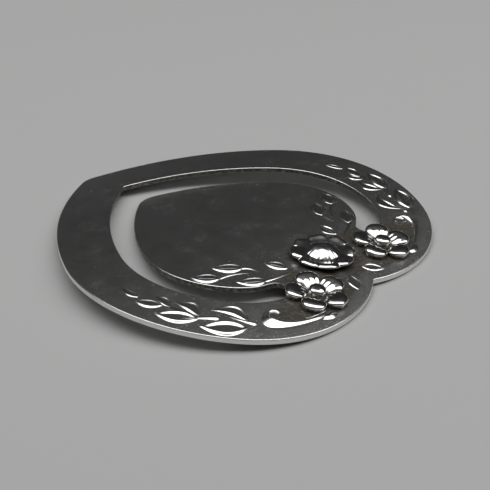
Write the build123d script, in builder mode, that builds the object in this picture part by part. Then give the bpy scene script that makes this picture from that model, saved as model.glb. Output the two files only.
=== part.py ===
from build123d import *
from math import acos, atan2, cos, degrees, radians, sin, sqrt
import os

# A heart-shaped page bookmark of silver sheet. A heart-shaped slot frees an inner tongue, which stays
# joined to the frame at the lobe end. Blossoms and leaf sprays are seated on the upper face.
# The heart lies flat: +Y runs from the tip to the lobes, +X to the right, +Z up from the table.
# The origin is under the middle of the heart. Lengths are in millimetres, angles in degrees.

# Heart outline: each half is a lobe arc, a side arc and a flank arc, all tangent, with a rounded tip.
# The side arc's centre lies beside the axis, and the lobe's and the flank's lie in line with it and a join.
HEART_WIDTH = 44.0
SIDE_CENTRE_X = 2.6
LOBE_STEP = 5.2
LOBE_JOIN = 40.0
FLANK_STEP = 20.1
FLANK_JOIN = -31.5
TIP_R = 2.5

# Page slot and tongue
BORDER = 6.0
SLOT = 2.7
SLOT_END = 70.0
SLOT_TIP_R = 0.8
TONGUE_TIP_R = 2.8

# Sheet: its thickness, the radius it is arched to from tip to lobes, and how far the tongue is set down
SHEET = 0.6
ARCH_R = 135.0
DROOP = 2.4

# Flexing neck, as a bead on the tongue that turns in a groove of the frame
HINGE_CLEARANCE = 0.03
BEAD_END_GAP = 0.08

# Side blossoms: five domed petals around a seated centre bead, set back from the rim by a margin
BLOSSOM_MARGIN = 1.05
PETAL_COUNT = 5
PETAL_RING_R = 2.05
PETAL_R = 1.35
PETAL_HEIGHT = 0.8
PETAL_START = -47.0
BLOSSOM_CORE_R = 1.5
BLOSSOM_SEAT = 0.35
BEAD_R = 0.95
BEAD_WALL = 0.1
BEAD_HEIGHT = 0.5

# Centre blossom: a ruffled ring of small petals around a large dome, standing over the neck
CENTRE_OFFSET = 0.25
RUFFLE_COUNT = 8
RUFFLE_RING_R = 2.6
RUFFLE_R = 1.0
RUFFLE_HEIGHT = 0.7
CENTRE_CORE_R = 2.45
CENTRE_SEAT = 0.5
DOME_R = 1.9
DOME_WALL = 0.1
DOME_HEIGHT = 0.7
NECK_RELIEF = 0.3

# Leaves and stems: a leaf rises by this share of its width
LEAF_RISE = 0.1
STEM_WIDTH = 0.55
STEM_HEIGHT = 0.12

# Rim spray: its points are (angle on the side arc, inset), with insets and widths in shares of the border.
# The stem is an arc through three points. A leaf is (base, tip, width).
RIM_STEM = ((42.0, 0.38), (27.0, 0.42), (0.0, 0.47))
RIM_LEAVES = (
    ((39.5, 0.37), (25.5, 0.2), 0.42),
    ((38.5, 0.42), (20.8, 0.58), 0.3),
    ((24.0, 0.42), (12.0, 0.21), 0.3),
    ((23.0, 0.45), (9.5, 0.51), 0.26),
    ((10.5, 0.44), (1.0, 0.32), 0.24),
    ((11.0, 0.46), (-2.8, 0.59), 0.23),
    ((0.5, 0.47), (-8.5, 0.5), 0.16),
)

# Tongue spray: it runs from beside the centre blossom to the tongue's edge, and its points lie at
# (along, to the left) in shares of that run. A leaf is (base, tip, width).
SPRAY_GAP = 1.1
SPRAY_START = -12.0
SPRAY_END = 8.0
SPRAY_END_INSET = 0.7
TONGUE_STEM = ((0.0, 0.0), (0.36, -0.01), (0.72, 0.07))
TONGUE_SIDE_STEM = ((0.02, 0.0), (0.12, 0.11), (0.27, 0.178))
TONGUE_LEAVES = (
    ((0.7, 0.065), (1.0, 0.012), 0.185),
    ((0.4, -0.018), (0.785, -0.145), 0.215),
    ((0.255, 0.165), (0.59, 0.165), 0.19),
    ((0.03, -0.005), (0.25, -0.15), 0.15),
)

# Rim scroll: a curled leaf along the lobe, as angles on the lobe arc and insets from the outline
SCROLL_BULB_ANGLE = 53.0
SCROLL_TAIL_ANGLE = 76.0
SCROLL_INSET = 2.15
SCROLL_BULB_R = 0.9
SCROLL_HEIGHT = 0.25
SCROLL_BULB_HEIGHT = 0.42
CURL_ANGLE = 55.5
CURL_INSET = 3.5
CURL_R = 0.75
CURL_HEIGHT = 0.3

# Small leaf outside each side blossom, between two angles on the lobe arc
LOBE_LEAF = (85.0, 75.0)
LOBE_LEAF_INSET = 1.5
LOBE_LEAF_WIDTH = 0.9

# Small leaf beside the cleft, as shares of the room between the axis and the side blossom
CLEFT_LEAF = (0.37, 0.87)
CLEFT_LEAF_WIDTH = 0.38
CLEFT_LEAF_BASE_DROP = 2.2
CLEFT_LEAF_TIP_DROP = 0.15


def polar(radius, angle):
    """Gives the plan vector of a length at an angle from +X."""
    return Vector(radius * cos(radians(angle)), radius * sin(radians(angle)))


# Arcs of the right half, with the heart's middle on the origin
side_r = HEART_WIDTH / 2 - SIDE_CENTRE_X
lobe_r = side_r - LOBE_STEP
flank_r = side_r + FLANK_STEP
lobe_shift = polar(LOBE_STEP, LOBE_JOIN)
flank_shift = polar(-FLANK_STEP, FLANK_JOIN)
lobe_rise = lobe_shift.Y + lobe_r
tip_run = sqrt((flank_r - TIP_R) ** 2 - (SIDE_CENTRE_X + flank_shift.X) ** 2)
tip_drop = TIP_R + tip_run - flank_shift.Y
half_length = (lobe_rise + tip_drop) / 2
side_centre = Vector(SIDE_CENTRE_X, half_length - lobe_rise)
lobe_centre = side_centre + lobe_shift
flank_centre = side_centre + flank_shift
cleft_angle = degrees(acos(-lobe_centre.X / lobe_r))
cleft_y = lobe_centre.Y + lobe_r * sin(radians(cleft_angle))

# Arch: a cylinder along X whose underside touches the table at the tip and at the lobes
arch_centre_z = -sqrt(ARCH_R**2 - half_length**2)
top_r = ARCH_R + SHEET
sheet_top = arch_centre_z + top_r
cut_height = 4 * sheet_top

# Neck line, between the centres of the two rounded slot ends
slot_end = lobe_centre + polar(lobe_r - BORDER - SLOT / 2, SLOT_END)
neck_y = slot_end.Y
neck_half = slot_end.X - SLOT / 2
neck_z = arch_centre_z + sqrt((ARCH_R + SHEET / 2) ** 2 - neck_y**2)
neck_axis = Axis((0, neck_y, neck_z), (1, 0, 0))
neck_location = Location((0, neck_y, neck_z), (0, 90, 0))
centre_point = Vector(0, neck_y - CENTRE_OFFSET)


def rim_point(angle, inset):
    """Gives a plan point inset from the side arc of the outline."""
    return side_centre + polar(side_r - inset, angle)


def lobe_point(angle, inset):
    """Gives a plan point inset from the lobe arc of the outline."""
    return lobe_centre + polar(lobe_r - inset, angle)


def border_point(angle, share):
    """Gives a plan point of the rim spray from its angle and its share of the border's width."""
    return rim_point(angle, share * BORDER)


def spray_point(along, left):
    """Gives a plan point of the tongue's spray from its shares of the spray's run."""
    start = centre_point + polar(RUFFLE_RING_R + RUFFLE_R + SPRAY_GAP, SPRAY_START)
    run = rim_point(SPRAY_END, BORDER + SLOT + SPRAY_END_INSET) - start
    return start + run * along + Vector(-run.Y, run.X) * left


def seat_plane(point, heading=0.0):
    """Gives the plane that touches the sheet's upper face over a plan point, with X along a heading."""
    rise = sqrt(top_r**2 - point.Y**2)
    normal = Vector(0, point.Y, rise)
    along = polar(1, heading)
    slope = Vector(along.X, along.Y, -along.Y * point.Y / rise)
    return Plane(origin=(point.X, point.Y, arch_centre_z + rise), x_dir=slope, z_dir=normal)


def dome_radius(plan_r, height):
    """Gives the radius of the sphere whose cap has this plan radius and height."""
    return (plan_r**2 + height**2) / (2 * height)


def heart_arcs(inset, tip_r, start_angle):
    """Draws the right half of the heart, inset from its outline, from the lobe down to the tip."""
    tip_y = flank_centre.Y - sqrt((flank_r - inset - tip_r) ** 2 - flank_centre.X**2)
    tip_turn = degrees(atan2(tip_y - flank_centre.Y, -flank_centre.X))
    CenterArc(lobe_centre, lobe_r - inset, start_angle, LOBE_JOIN - start_angle)
    CenterArc(side_centre, side_r - inset, LOBE_JOIN, FLANK_JOIN - LOBE_JOIN)
    CenterArc(flank_centre, flank_r - inset, FLANK_JOIN, tip_turn - FLANK_JOIN)
    CenterArc((0, tip_y), tip_r, tip_turn, -90 - tip_turn)


def dome(plane, plan_r, height):
    """Adds a spherical cap that stands on a plane."""
    radius = dome_radius(plan_r, height)
    with Locations(plane.offset(height - radius)):
        Sphere(radius)


def leaf(base, tip, width):
    """Adds one almond-shaped leaf on the sheet between two plan points, turned about a sunken axis."""
    run = tip - base
    half = run.length / 2
    height = LEAF_RISE * width
    sink = (width**2 / (4 * height) - height) / 2
    profile_r = dome_radius(half, height)
    reach = sqrt(profile_r**2 - (profile_r - height - sink) ** 2)
    plane = seat_plane((base + tip) * 0.5, degrees(atan2(run.Y, run.X))).offset(-sink)
    with BuildSketch(plane) as almond:
        with BuildLine():
            Line((-reach, 0), (reach, 0))
            ThreePointArc((reach, 0), (0, height + sink), (-reach, 0))
        make_face()
    revolve(almond.sketch, axis=Axis(plane.origin, plane.x_dir))


# Arch tools: the space under the upper face, the sheet itself, and thin layers that stand on it
with BuildPart() as under_face:
    with BuildSketch(Plane.YZ):
        with Locations((0, arch_centre_z)):
            Circle(top_r)
    extrude(amount=HEART_WIDTH, both=True)

with BuildPart() as sheet_layer:
    with BuildSketch(Plane.YZ):
        with Locations((0, arch_centre_z)):
            Circle(top_r)
            Circle(ARCH_R, mode=Mode.SUBTRACT)
    extrude(amount=HEART_WIDTH, both=True)

with BuildPart() as stem_layer:
    with BuildSketch(Plane.YZ):
        with Locations((0, arch_centre_z)):
            Circle(top_r + STEM_HEIGHT)
            Circle(ARCH_R, mode=Mode.SUBTRACT)
    extrude(amount=HEART_WIDTH, both=True)

with BuildPart() as scroll_layer:
    with BuildSketch(Plane.YZ):
        with Locations((0, arch_centre_z)):
            Circle(top_r + SCROLL_HEIGHT)
            Circle(ARCH_R, mode=Mode.SUBTRACT)
    extrude(amount=HEART_WIDTH, both=True)

with BuildPart() as neck_space:
    with BuildSketch(Plane.YZ):
        with Locations((0, arch_centre_z)):
            Circle(top_r + NECK_RELIEF)
    extrude(amount=HEART_WIDTH, both=True)
    split(bisect_by=Plane.XZ.offset(-neck_y), keep=Keep.BOTTOM)

# Frame: the border of the heart, with the lobe end that the tongue grows from
with BuildPart() as heart_frame:
    with BuildSketch():
        with BuildLine():
            heart_arcs(0, TIP_R, cleft_angle)
            mirror(about=Plane.YZ)
        make_face()
    extrude(amount=cut_height)
    with BuildSketch():
        with BuildLine():
            Line((0, neck_y), (neck_half, neck_y))
            CenterArc(slot_end, SLOT / 2, 180, SLOT_END - 180)
            heart_arcs(BORDER, SLOT_TIP_R, SLOT_END)
            mirror(about=Plane.YZ)
        make_face()
    extrude(amount=cut_height, mode=Mode.SUBTRACT)
    add(sheet_layer.part, mode=Mode.INTERSECT)
    with Locations(neck_location):
        Cylinder(SHEET / 2 + HINGE_CLEARANCE, 2 * neck_half + SLOT, mode=Mode.SUBTRACT)

# Tongue, flush with the arch, with the bead along its root
with BuildPart() as flush_tongue:
    with BuildSketch():
        with BuildLine():
            Line((0, neck_y), (neck_half, neck_y))
            CenterArc(slot_end, SLOT / 2, 180, SLOT_END)
            heart_arcs(BORDER + SLOT, TONGUE_TIP_R, SLOT_END)
            mirror(about=Plane.YZ)
        make_face()
    extrude(amount=cut_height)
    add(sheet_layer.part, mode=Mode.INTERSECT)
    with Locations(neck_location):
        Cylinder(SHEET / 2, 2 * (neck_half - BEAD_END_GAP))

with BuildPart() as page_tongue:
    add(flush_tongue.part.rotate(neck_axis, DROOP))

# Side blossoms
blossom_plane = seat_plane(lobe_point(90, BLOSSOM_MARGIN + PETAL_R + PETAL_RING_R))
petal_sphere_r = dome_radius(PETAL_R, PETAL_HEIGHT)
bead_sphere_r = dome_radius(BEAD_R, BEAD_HEIGHT)

with BuildPart() as blossom_right:
    with Locations(blossom_plane):
        Cylinder(BLOSSOM_CORE_R, 2 * BLOSSOM_SEAT)
    with Locations(blossom_plane.offset(PETAL_HEIGHT - petal_sphere_r)):
        with PolarLocations(PETAL_RING_R, PETAL_COUNT, PETAL_START):
            Sphere(petal_sphere_r)
    with Locations(blossom_plane.offset(BLOSSOM_SEAT)):
        Cylinder(BEAD_R, cut_height, align=(Align.CENTER, Align.CENTER, Align.MIN), mode=Mode.SUBTRACT)
    add(under_face.part, mode=Mode.SUBTRACT)

with BuildPart() as blossom_right_bead:
    with Locations(blossom_plane.offset(BLOSSOM_SEAT)):
        Cylinder(BEAD_R, BEAD_WALL + BEAD_HEIGHT, align=(Align.CENTER, Align.CENTER, Align.MIN))
    with Locations(blossom_plane.offset(BLOSSOM_SEAT + BEAD_WALL + BEAD_HEIGHT - bead_sphere_r)):
        Sphere(bead_sphere_r, mode=Mode.INTERSECT)

with BuildPart() as blossom_left:
    mirror(blossom_right.part, about=Plane.YZ)

with BuildPart() as blossom_left_bead:
    mirror(blossom_right_bead.part, about=Plane.YZ)

# Centre blossom, which turns with the tongue and stands clear of the frame behind the neck
centre_plane = seat_plane(centre_point)
ruffle_sphere_r = dome_radius(RUFFLE_R, RUFFLE_HEIGHT)
dome_sphere_r = dome_radius(DOME_R, DOME_HEIGHT)

with BuildPart() as flush_centre_blossom:
    with Locations(centre_plane):
        Cylinder(CENTRE_CORE_R, 2 * CENTRE_SEAT)
    with Locations(centre_plane.offset(RUFFLE_HEIGHT - ruffle_sphere_r)):
        with PolarLocations(RUFFLE_RING_R, RUFFLE_COUNT):
            Sphere(ruffle_sphere_r)
    with Locations(centre_plane.offset(CENTRE_SEAT)):
        Cylinder(DOME_R, cut_height, align=(Align.CENTER, Align.CENTER, Align.MIN), mode=Mode.SUBTRACT)
    add(under_face.part, mode=Mode.SUBTRACT)
    add(neck_space.part, mode=Mode.SUBTRACT)

with BuildPart() as flush_centre_dome:
    with Locations(centre_plane.offset(CENTRE_SEAT)):
        Cylinder(DOME_R, DOME_WALL + DOME_HEIGHT, align=(Align.CENTER, Align.CENTER, Align.MIN))
    with Locations(centre_plane.offset(CENTRE_SEAT + DOME_WALL + DOME_HEIGHT - dome_sphere_r)):
        Sphere(dome_sphere_r, mode=Mode.INTERSECT)

with BuildPart() as centre_blossom:
    add(flush_centre_blossom.part.rotate(neck_axis, DROOP))

with BuildPart() as centre_blossom_dome:
    add(flush_centre_dome.part.rotate(neck_axis, DROOP))

# Rim sprays
with BuildLine() as rim_stem:
    ThreePointArc(*[border_point(*place) for place in RIM_STEM])

with BuildPart() as rim_spray_right:
    with BuildSketch():
        SlotArc(rim_stem.edge(), STEM_WIDTH)
    extrude(amount=cut_height)
    add(stem_layer.part, mode=Mode.INTERSECT)
    for base, tip, width in RIM_LEAVES:
        leaf(border_point(*base), border_point(*tip), width * BORDER)
    add(under_face.part, mode=Mode.SUBTRACT)

with BuildPart() as rim_spray_left:
    mirror(rim_spray_right.part, about=Plane.YZ)

# Rim scrolls
scroll_mid_angle = (SCROLL_BULB_ANGLE + SCROLL_TAIL_ANGLE) / 2
scroll_tail = lobe_point(SCROLL_TAIL_ANGLE, SCROLL_INSET)

with BuildPart() as rim_scroll_right:
    with BuildSketch():
        with BuildLine():
            outer = ThreePointArc(
                lobe_point(SCROLL_BULB_ANGLE, SCROLL_INSET - SCROLL_BULB_R),
                lobe_point(scroll_mid_angle, SCROLL_INSET - SCROLL_BULB_R / 2),
                scroll_tail,
            )
            inner = ThreePointArc(
                scroll_tail,
                lobe_point(scroll_mid_angle, SCROLL_INSET + SCROLL_BULB_R / 2),
                lobe_point(SCROLL_BULB_ANGLE, SCROLL_INSET + SCROLL_BULB_R),
            )
            Line(inner @ 1, outer @ 0)
        make_face()
    extrude(amount=cut_height)
    add(scroll_layer.part, mode=Mode.INTERSECT)
    dome(seat_plane(lobe_point(SCROLL_BULB_ANGLE, SCROLL_INSET)), SCROLL_BULB_R, SCROLL_BULB_HEIGHT)
    dome(seat_plane(lobe_point(CURL_ANGLE, CURL_INSET)), CURL_R, CURL_HEIGHT)
    add(under_face.part, mode=Mode.SUBTRACT)

with BuildPart() as rim_scroll_left:
    mirror(rim_scroll_right.part, about=Plane.YZ)

# Single leaves of the lobes and the cleft
lobe_leaf_base = lobe_point(LOBE_LEAF[0], LOBE_LEAF_INSET)
lobe_leaf_tip = lobe_point(LOBE_LEAF[1], LOBE_LEAF_INSET)

with BuildPart() as lobe_leaf_right:
    leaf(lobe_leaf_base, lobe_leaf_tip, LOBE_LEAF_WIDTH)
    add(under_face.part, mode=Mode.SUBTRACT)

with BuildPart() as lobe_leaf_left:
    mirror(lobe_leaf_right.part, about=Plane.YZ)

cleft_room = lobe_centre.X - PETAL_RING_R - PETAL_R
cleft_leaf_base = Vector(CLEFT_LEAF[0] * cleft_room, cleft_y - CLEFT_LEAF_BASE_DROP)
cleft_leaf_tip = Vector(CLEFT_LEAF[1] * cleft_room, cleft_y - CLEFT_LEAF_TIP_DROP)

with BuildPart() as cleft_leaf_right:
    leaf(cleft_leaf_base, cleft_leaf_tip, CLEFT_LEAF_WIDTH * cleft_room)
    add(under_face.part, mode=Mode.SUBTRACT)

with BuildPart() as cleft_leaf_left:
    mirror(cleft_leaf_right.part, about=Plane.YZ)

# Tongue sprays
spray_run = (spray_point(1, 0) - spray_point(0, 0)).length

with BuildLine() as tongue_stem:
    ThreePointArc(*[spray_point(*place) for place in TONGUE_STEM])

with BuildLine() as tongue_side_stem:
    ThreePointArc(*[spray_point(*place) for place in TONGUE_SIDE_STEM])

with BuildPart() as flush_tongue_spray:
    with BuildSketch():
        SlotArc(tongue_stem.edge(), STEM_WIDTH)
        SlotArc(tongue_side_stem.edge(), STEM_WIDTH)
    extrude(amount=cut_height)
    add(stem_layer.part, mode=Mode.INTERSECT)
    for base, tip, width in TONGUE_LEAVES:
        leaf(spray_point(*base), spray_point(*tip), width * spray_run)
    add(under_face.part, mode=Mode.SUBTRACT)

with BuildPart() as tongue_spray_right:
    add(flush_tongue_spray.part.rotate(neck_axis, DROOP))

with BuildPart() as tongue_spray_left:
    mirror(tongue_spray_right.part, about=Plane.YZ)

# Finished pieces, one file each
pieces = {
    "heart_frame": heart_frame,
    "page_tongue": page_tongue,
    "blossom_right": blossom_right,
    "blossom_right_bead": blossom_right_bead,
    "blossom_left": blossom_left,
    "blossom_left_bead": blossom_left_bead,
    "centre_blossom": centre_blossom,
    "centre_blossom_dome": centre_blossom_dome,
    "rim_spray_right": rim_spray_right,
    "rim_spray_left": rim_spray_left,
    "rim_scroll_right": rim_scroll_right,
    "rim_scroll_left": rim_scroll_left,
    "lobe_leaf_right": lobe_leaf_right,
    "lobe_leaf_left": lobe_leaf_left,
    "cleft_leaf_right": cleft_leaf_right,
    "cleft_leaf_left": cleft_leaf_left,
    "tongue_spray_right": tongue_spray_right,
    "tongue_spray_left": tongue_spray_left,
}
os.makedirs("parts", exist_ok=True)
for name, piece in pieces.items():
    piece.part.label = name
    export_step(piece.part, f"parts/{name}.step")
print(f"neck axis at y {neck_y:.4f}, z {neck_z:.4f}, half length {neck_half:.4f}")
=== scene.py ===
from math import acos, atan2, cos, exp, hypot, pi, radians, sin, sqrt

import bmesh
import bpy
from bpy.props import FloatProperty, FloatVectorProperty, IntProperty, PointerProperty
from mathutils import Matrix, Vector, noise


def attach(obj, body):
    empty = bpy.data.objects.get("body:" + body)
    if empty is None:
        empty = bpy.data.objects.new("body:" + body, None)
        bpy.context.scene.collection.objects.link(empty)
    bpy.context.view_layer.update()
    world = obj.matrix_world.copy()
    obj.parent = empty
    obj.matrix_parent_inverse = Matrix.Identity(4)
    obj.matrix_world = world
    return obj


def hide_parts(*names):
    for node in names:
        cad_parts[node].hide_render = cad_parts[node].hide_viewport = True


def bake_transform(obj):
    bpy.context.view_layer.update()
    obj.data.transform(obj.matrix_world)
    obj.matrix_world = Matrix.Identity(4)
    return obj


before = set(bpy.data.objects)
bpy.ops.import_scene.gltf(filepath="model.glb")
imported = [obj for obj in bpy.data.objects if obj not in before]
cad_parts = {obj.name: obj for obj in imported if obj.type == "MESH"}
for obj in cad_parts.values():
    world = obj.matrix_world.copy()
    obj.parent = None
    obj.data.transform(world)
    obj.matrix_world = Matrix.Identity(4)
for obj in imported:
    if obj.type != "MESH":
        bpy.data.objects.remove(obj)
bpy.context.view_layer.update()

bl_info = {
    "name": "Silver Heart Bookmark",
    "version": (1, 0, 0),
    "blender": (4, 5, 0),
    "location": "View3D > Sidebar > Bookmark",
    "description": "Models a pierced silver heart bookmark with blossoms and leaf sprays",
    "category": "Add Mesh",
}

MM = 0.001
UP = (0, 0, 1)

# Edge length on arcs, depth that relief is rooted in the sheet, distance at which points merge,
# and angle from which an edge is shaded sharp
ARC_STEP = 0.45 * MM
ROOT_DEPTH = 0.12 * MM
MERGE = 1e-7
SHARP_ANGLE = radians(42)

# Rim spray: points as (angle on the side arc, inset in shares of the border).
# A stem is three points and a height; a leaf is (base, tip, width, bend, slope of its outer and inner rim).
RIM_STEMS = (
    ((43.5, 0.41), (40.0, 0.47), (34.5, 0.57), 0.9),
    ((31.0, 0.49), (26.5, 0.46), (19.0, 0.32), 1.0),
    ((19.0, 0.44), (13.0, 0.5), (4.0, 0.47), 0.35),
)
RIM_LEAVES = (
    ((40.5, 0.31), (25.0, 0.21), 0.42, 0.05, 1.0, 0.9),
    ((41.0, 0.46), (26.5, 0.66), 0.29, -0.26, 0.85, 0.62),
    ((24.5, 0.4), (9.5, 0.25), 0.36, 0.04, 1.0, 0.8),
    ((24.0, 0.47), (12.5, 0.66), 0.28, -0.22, 0.82, 0.6),
    ((10.5, 0.52), (0.0, 0.37), 0.27, 0.04, 0.85, 0.5),
    ((13.0, 0.52), (4.0, 0.66), 0.21, -0.12, 0.55, 0.75),
    ((0.5, 0.48), (-8.5, 0.52), 0.16, 0.05, 0.57, 0.5),
)

# Tongue spray: points as (along, to the left) in shares of the spray's run.
# A leaf is (base, tip, width, bend).
TONGUE_STEMS = (
    ((0.735, 0.09), (0.6, 0.03), (0.43, 0.018)),
    ((0.49, -0.068), (0.41, -0.064), (0.325, 0.008)),
    ((0.31, 0.195), (0.17, 0.142), (0.019, 0.07)),
)
TONGUE_LEAVES = (
    ((0.705, 0.064), (1.01, 0.004), 0.18, 0.05),
    ((0.45, -0.09), (0.785, -0.137), 0.185, 0.03),
    ((0.27, 0.166), (0.59, 0.164), 0.165, 0.05),
    ((0.03, -0.005), (0.25, -0.15), 0.15, -0.05),
)
TONGUE_SPRAY_START = radians(-12)
TONGUE_SPRAY_END = radians(8)

# Noises of the silver, in cells per metre
GRAIN_CELLS = (900, 9000, 900)
CROSS_CELLS = (1100, 12000, 1100)
CLOUD_CELLS = (420, 420, 420)
SPECK_CELLS = (2600, 2600, 2600)
PIT_CELLS = (6500, 6500, 6500)

# Brightness of the room at a few heights over the horizon, in degrees
ROOM = ((8.0, 0.03), (27.0, 0.015), (38.0, 0.025), (50.0, 0.06), (64.0, 0.2))


def length_property(name, description, default):
    """Describes one length in metres."""
    return FloatProperty(name=name, description=description, default=default, unit="LENGTH", precision=6)


def angle_property(name, description, default):
    """Describes one angle, given in degrees and kept in radians."""
    return FloatProperty(name=name, description=description, default=radians(default), subtype="ANGLE")


def share_property(name, description, default):
    """Describes one value between 0 and 1."""
    return FloatProperty(
        name=name, description=description, default=default, subtype="FACTOR", min=0.0, max=1.0
    )


def colour_property(name, description, default):
    """Describes one colour without alpha."""
    return FloatVectorProperty(
        name=name, description=description, default=default, subtype="COLOR", size=3, min=0.0, max=1.0
    )


class BOOKMARK_PG_sheet(bpy.types.PropertyGroup):
    """Sizes of the pierced and arched silver sheet"""

    heart_width: length_property("Heart Width", "Width across the lobes", 0.044)
    side_centre_x: length_property("Side Centre", "Distance of the side arc's centre from the axis", 0.0026)
    lobe_step: length_property("Lobe Step", "How much tighter the lobe arc is than the side arc", 0.0052)
    lobe_join: angle_property("Lobe Join", "Angle at which the lobe arc meets the side arc", 40.0)
    flank_step: length_property("Flank Step", "How much wider the flank arc is than the side arc", 0.0201)
    flank_join: angle_property("Flank Join", "Angle at which the side arc meets the flank arc", -31.5)
    tip_radius: length_property("Tip Radius", "Rounding of the heart's tip", 0.0025)
    border: length_property("Border", "Width of the frame around the slot", 0.006)
    slot: length_property("Slot", "Width of the page slot", 0.0027)
    slot_end: angle_property("Slot End", "Angle on the lobe at which the slot ends", 70.0)
    slot_tip_radius: length_property("Slot Tip Radius", "Rounding of the slot's outer point", 0.0008)
    tongue_tip_radius: length_property("Tongue Tip Radius", "Rounding of the tongue's point", 0.0028)
    thickness: length_property("Thickness", "Thickness of the sheet", 0.0006)
    edge_round: length_property("Edge Rounding", "Radius that the cut edges are rubbed down to", 0.0001)
    arch_radius: length_property("Arch Radius", "Radius of the arch, on the underside", 0.135)
    droop: angle_property("Droop", "How far the tongue is set down at the neck", 2.4)
    neck_bend: length_property("Neck Bend", "Length of sheet that bends at the neck", 0.001)


class BOOKMARK_PG_relief(bpy.types.PropertyGroup):
    """Sizes of the blossoms, leaves and scrolls"""

    blossom_margin: length_property("Blossom Margin", "Distance of the petals from the rim", 0.00105)
    petal_count: IntProperty(name="Petals", description="Petals of a side blossom", default=5, min=3, max=9)
    petal_ring: length_property("Petal Ring", "Radius on which the petals stand", 0.00205)
    petal_radius: length_property("Petal Radius", "Radius of one petal", 0.00135)
    petal_height: length_property("Petal Height", "Height of a petal's rim", 0.0008)
    petal_start: angle_property("Petal Start", "Direction of the first petal", -47.0)
    bead_radius: length_property("Bead Radius", "Radius of a side blossom's centre", 0.00095)
    bead_height: length_property("Bead Height", "Height of a side blossom's centre", 0.00096)
    centre_offset: length_property("Centre Offset", "Distance of the blossom from the neck line", 0.00025)
    ruffle_count: IntProperty(name="Ruffles", description="Ruffles of the centre", default=8, min=4, max=16)
    ruffle_radius: length_property("Ruffle Radius", "Outer radius of the ruffled ring", 0.0036)
    ruffle_height: length_property("Ruffle Height", "Height of the ruffled rim", 0.00075)
    neck_relief: length_property("Neck Relief", "Room under the ruffles behind the neck", 0.0003)
    dome_radius: length_property("Dome Radius", "Radius of the centre blossom's dome", 0.0019)
    dome_height: length_property("Dome Height", "Height of the centre blossom's dome", 0.0013)
    leaf_slope: share_property("Leaf Slope", "Rise of a leaf's rim over its broad flank", 0.36)
    leaf_rim: share_property("Leaf Rim", "Broad flank of a leaf's rim, as a share of half the leaf", 0.38)
    stem_width: length_property("Stem Width", "Width of a stem", 0.0008)
    stem_height: length_property("Stem Height", "Height of a stem", 0.00014)
    spray_gap: length_property("Spray Gap", "Room between the ruffles and the tongue's spray", 0.0011)
    spray_inset: length_property("Spray Inset", "Distance of the spray's end from the tongue's edge", 0.0007)
    scroll_inset: length_property("Scroll Inset", "Distance of the scroll's crest from the rim", 0.00195)
    scroll_width: length_property("Scroll Width", "Width of the scroll's outer slope at its bulb", 0.00098)
    scroll_height: length_property("Scroll Height", "Height of the scroll at its bulb", 0.0004)
    curl_inset: length_property("Curl Inset", "Distance of the scroll's curl from the rim", 0.0037)
    curl_radius: length_property("Curl Radius", "Radius of the cup in the curl", 0.00075)
    lobe_leaf_inset: length_property("Lobe Leaf Inset", "Distance of the lobe's leaf from the rim", 0.00135)
    lobe_leaf_width: length_property("Lobe Leaf Width", "Width of the lobe's leaf", 0.00095)


class BOOKMARK_PG_finish(bpy.types.PropertyGroup):
    """Colours and wear of the silver, with the dark colour used for its patina, stain and painted shade"""

    silver: colour_property("Silver", "Colour of the clean silver", (0.92, 0.91, 0.89))
    # The dark colour stands for the patina and stain and also for the painted shade on walls, in recesses and
    # under the relief
    tarnish_and_shade: colour_property("Tarnish", "Colour of the tarnish in the recesses", (0.075, 0.063, 0.046))
    polish: share_property("Polish", "Roughness of the blossoms", 0.13)
    rubbed: share_property("Rubbed", "Roughness of the leaves and scrolls", 0.21)
    satin: share_property("Satin", "Roughness of the plain sheet", 0.25)
    scratch_depth: length_property("Scratch Depth", "Depth of the fine scratches on the sheet", 0.0000135)


class BOOKMARK_PG_stage(bpy.types.PropertyGroup):
    """Table, light and camera"""

    table: colour_property("Table", "Colour of the table", (0.6, 0.6, 0.595))
    room: colour_property("Room", "Tint of the dim room", (0.97, 1.0, 1.0))
    front: colour_property("Front", "Glow of the room on the camera's side", (0.05, 0.05, 0.05))
    light_power: FloatProperty(name="Light", description="Power of the soft light", default=3.1, unit="POWER")
    light_height: length_property("Light Height", "Height of the soft light over the table", 0.5)
    light_width: length_property("Light Width", "Width of the soft light, across the camera's view", 1.5)
    light_depth: length_property("Light Depth", "Depth of the soft light, along the camera's view", 0.34)
    light_back: length_property("Light Back", "How far the light stands away from the camera", 0.04)
    light_right: length_property("Light Right", "How far the light stands to the camera's right", 0.2)
    azimuth: angle_property("Azimuth", "Direction the camera stands in", 126.76)
    elevation: angle_property("Elevation", "Height of the camera over the horizon", 28.86)
    distance: length_property("Distance", "Distance of the camera", 0.1093)
    target: FloatVectorProperty(
        name="Target",
        description="Point the camera looks at",
        default=(0.00425, 0.00648, 0.00237),
        unit="LENGTH",
    )
    focal_length: FloatProperty(
        name="Focal Length", description="Focal length of the lens in millimetres", default=74.0
    )


def polar(radius, angle):
    """Gives the plan vector of a length at an angle from +X."""
    return Vector((radius * cos(angle), radius * sin(angle), 0))


def smoothstep(value):
    """Gives a smooth rise from 0 to 1 as the value goes from 0 to 1."""
    share = min(max(value, 0.0), 1.0)
    return share * share * (3 - 2 * share)


def hump(value, middle, width):
    """Gives a soft ridge of height 1 around a middle."""
    return exp(-(((value - middle) / width) ** 2))


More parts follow.
